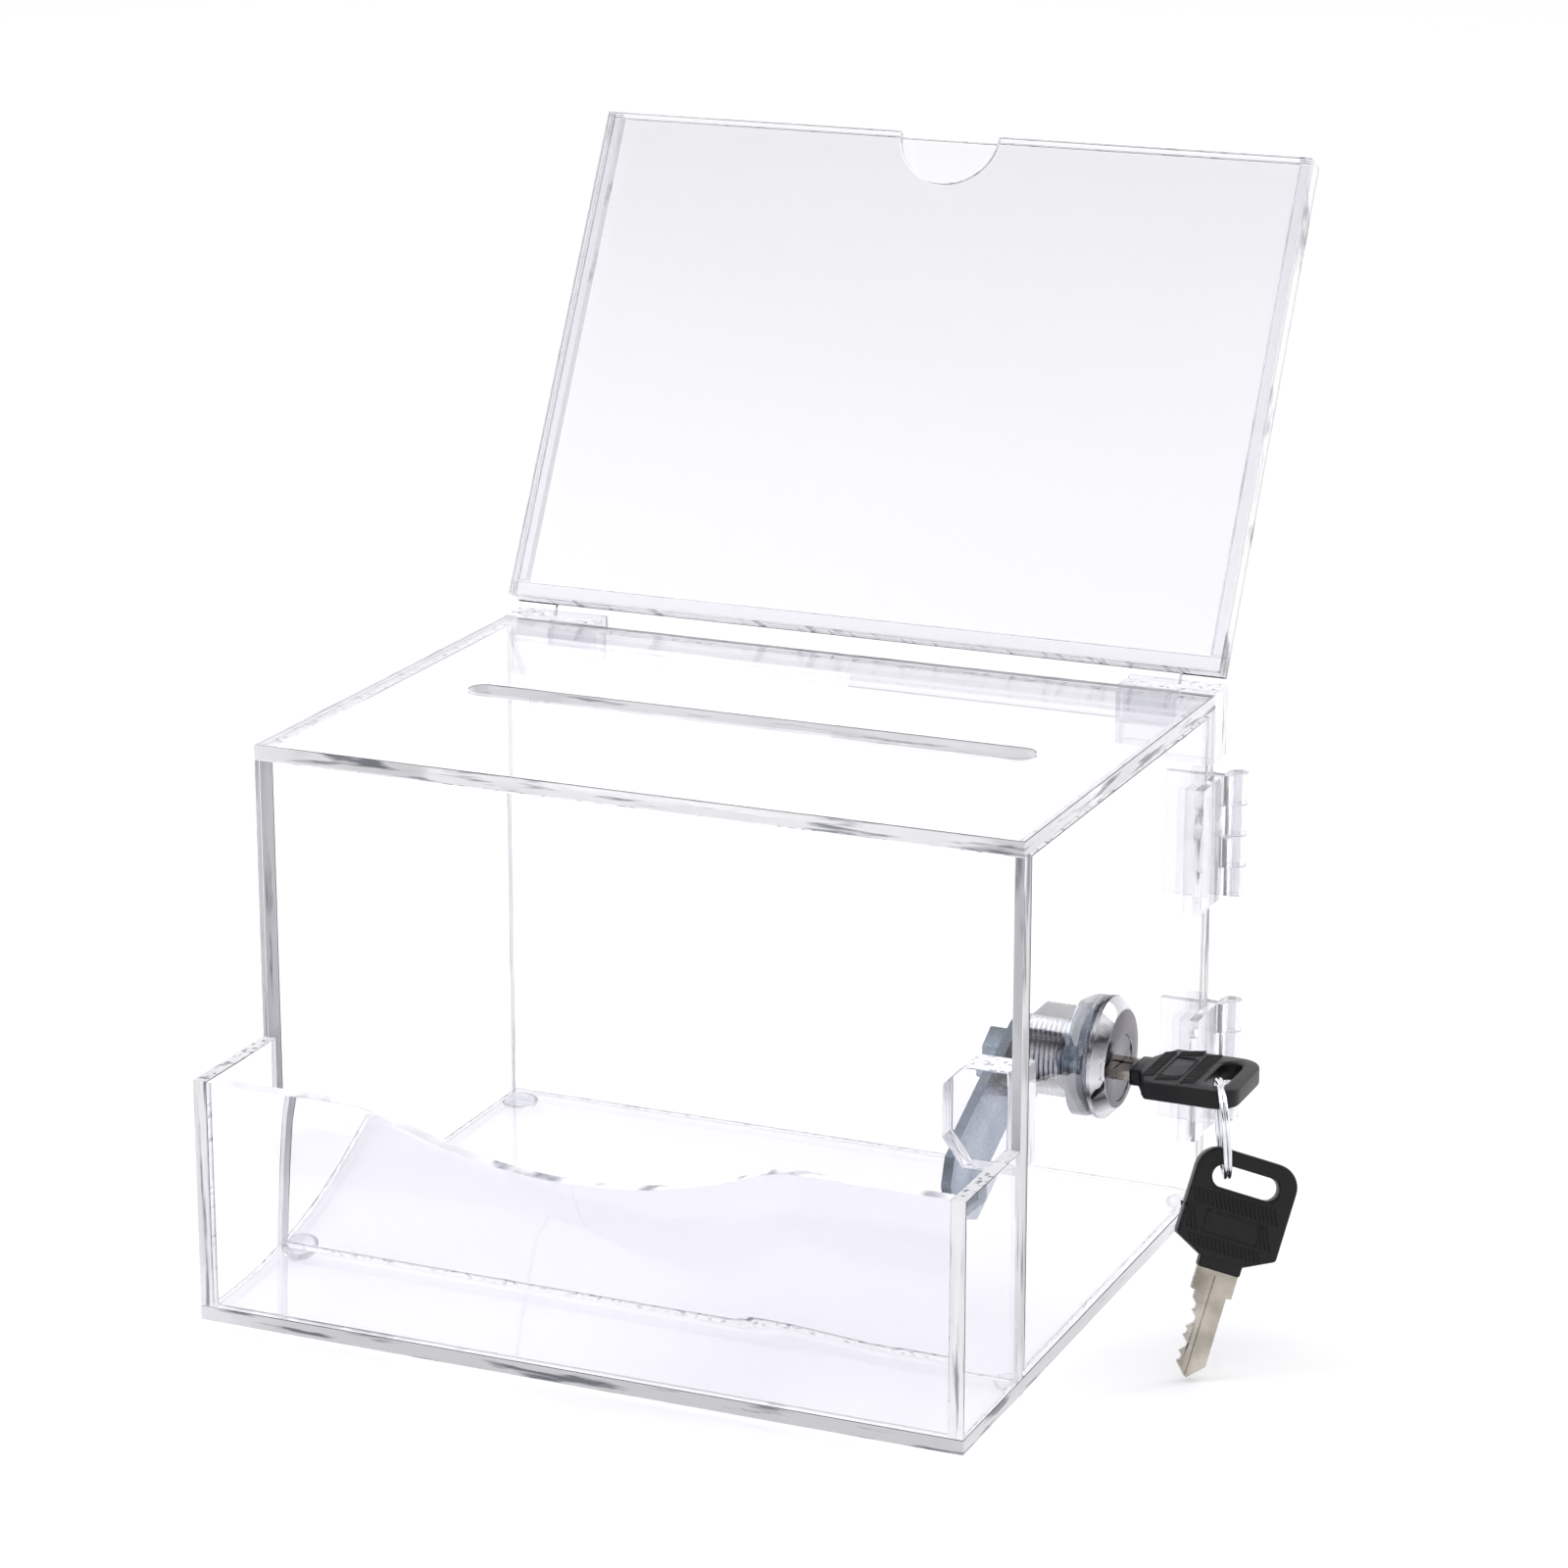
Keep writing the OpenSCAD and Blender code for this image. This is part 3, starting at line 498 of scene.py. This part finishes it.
def settle(bm, turn, node):
    """Turns a mesh and moves its box onto the centre of the CAD node's box."""
    bmesh.ops.transform(bm, matrix=turn.to_4x4(), verts=bm.verts)
    low = Vector([min(v.co[i] for v in bm.verts) for i in range(3)])
    high = Vector([max(v.co[i] for v in bm.verts) for i in range(3)])
    node_low, node_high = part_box(node)
    bmesh.ops.translate(bm, verts=bm.verts, vec=(node_low + node_high - low - high) / 2)


def turned(axis, degrees):
    return Matrix.Rotation(math.radians(degrees), 3, axis)


bow = bow_mesh()
settle(bow, Matrix.Identity(3), "key_bow")
link("key_bow_moulded", bow, [BLACK], "key", "key_bow", 35)
bow = bow_mesh()
# The spare key hangs with its slot upwards, leaning and twisted as its CAD solid is
hanging = turned("Z", 24) @ turned("Y", 18.2) @ turned("X", -17) @ turned("Y", -90) @ turned("X", 90)
settle(bow, hanging, "spare_key_bow")
link("spare_key_bow_moulded", bow, [BLACK], "spare_key", "spare_key_bow", 35)


def split_ring():
    """Two turns of wire side by side, with one jog between them and two free ends."""
    bm = bmesh.new()
    # Radius to the middle of the wire, radius of the wire, and distance between its turns
    middle, wire, pitch = 9.3 * mm, 0.39 * mm, 0.8 * mm
    sides, steps = 14, 150
    rings = []
    for i in range(steps + 1):
        turn = 2 * i / steps
        around = 2 * math.pi * turn + math.radians(100)
        jog = min(max((turn - 0.94) / 0.12, 0), 1)
        aside = pitch * (jog * jog * (3 - 2 * jog) - 0.5)
        loop = []
        for j in range(sides):
            b = 2 * math.pi * j / sides
            reach = middle + wire * math.cos(b)
            loop.append(bm.verts.new((aside + wire * math.sin(b), reach * math.cos(around),
                                      reach * math.sin(around))))
        rings.append(loop)
    for first, second in zip(rings, rings[1:]):
        for j in range(sides):
            k = (j + 1) % sides
            bm.faces.new((first[j], first[k], second[k], second[j]))
    bm.faces.new(rings[0][::-1])
    bm.faces.new(rings[-1])
    bmesh.ops.recalc_face_normals(bm, faces=bm.faces)
    return bm


ring = split_ring()
settle(ring, turned("Z", 24) @ turned("Y", -5), "key_ring")
link("split_ring", ring, [WIRE], "ring", "key_ring", 60)


# ---- Floor, light and camera ----

def floor():
    """Matt white table, with its top under the feet."""
    paint = Paint("floor")
    cloud = paint.noise(2, 2)
    paint.drive("Base Color", paint.ramp(cloud, [(0.3, 0.93), (0.7, 0.95)]))
    paint.set(Roughness=0.9, Specular_IOR_Level=0.1)
    reach = 8.0
    mesh = bpy.data.meshes.new("floor")
    mesh.from_pydata([(-reach, -reach, floor_z), (reach, -reach, floor_z),
                      (reach, reach, floor_z), (-reach, reach, floor_z)], [], [(0, 1, 2, 3)])
    mesh.materials.append(paint.material)
    obj = bpy.data.objects.new("floor", mesh)
    bpy.context.scene.collection.objects.link(obj)


def world_light():
    """White surroundings, greyer to both sides, with a dim band high in front of the box."""
    world = bpy.data.worlds.new("studio")
    world.use_nodes = True
    nodes, links = world.node_tree.nodes, world.node_tree.links
    nodes.clear()
    output = nodes.new("ShaderNodeOutputWorld")
    back = nodes.new("ShaderNodeBackground")
    links.new(back.outputs[0], output.inputs["Surface"])
    split = nodes.new("ShaderNodeSeparateXYZ")
    links.new(nodes.new("ShaderNodeTexCoord").outputs["Generated"], split.inputs[0])

    dim = (0.10, 0.10, 0.13)
    stops = [(0.50, 1.0), (0.66, dim), (0.80, dim), (0.90, 1.0)]
    front = colour_ramp(nodes, links, split.outputs["Z"], stops)
    toward = nodes.new("ShaderNodeMapRange")
    toward.inputs["From Min"].default_value = 0.25
    toward.inputs["From Max"].default_value = -0.25
    links.new(split.outputs["Y"], toward.inputs["Value"])
    sky = blend(nodes, links, "MIX", toward.outputs["Result"], (1, 1, 1, 1), front)
    across = nodes.new("ShaderNodeMath")
    across.operation = "ABSOLUTE"
    links.new(split.outputs["X"], across.inputs[0])
    side = colour_ramp(nodes, links, across.outputs[0], [(0.86, 1.0), (0.97, (0.66, 0.66, 0.69))])
    links.new(blend(nodes, links, "MULTIPLY", 1.0, sky, side), back.inputs["Color"])
    back.inputs["Strength"].default_value = 1.19
    bpy.context.scene.world = world


def area_light(name, at, target, size, power):
    """A rectangular lamp of power watts at one place, turned to face another."""
    data = bpy.data.lights.new(name, "AREA")
    data.shape = "RECTANGLE"
    data.size, data.size_y = size
    data.energy = power
    obj = bpy.data.objects.new(name, data)
    obj.location = at
    obj.rotation_euler = (Vector(target) - Vector(at)).to_track_quat("-Z", "Y").to_euler()
    bpy.context.scene.collection.objects.link(obj)


def camera():
    """Camera in front of the box and to its right, looking slightly down."""
    azimuth = math.radians(23.45)
    drop = math.radians(16.60)
    look = Vector((-math.sin(azimuth) * math.cos(drop), math.cos(azimuth) * math.cos(drop),
                   -math.sin(drop)))
    data = bpy.data.cameras.new("camera")
    data.sensor_width = 36
    data.lens = 109.4
    data.clip_start = 0.01
    obj = bpy.data.objects.new("camera", data)
    obj.location = corner + Vector((445.2, -769.1, 364.2)) * mm
    obj.rotation_euler = look.to_track_quat("-Z", "Y").to_euler()
    bpy.context.scene.collection.objects.link(obj)
    bpy.context.scene.camera = obj


floor()
world_light()
area_light("key_light", (-1.1, -0.1, 1.5), (0, 0, 0.08), (0.9, 0.9), 10)
area_light("rim_light", (0.9, 0.9, 0.9), (0, 0, 0.1), (0.6, 0.6), 5)
camera()

scene = bpy.context.scene
scene.view_settings.view_transform = "Standard"
scene.cycles.max_bounces = 36
scene.cycles.transmission_bounces = 36
scene.cycles.transparent_max_bounces = 32
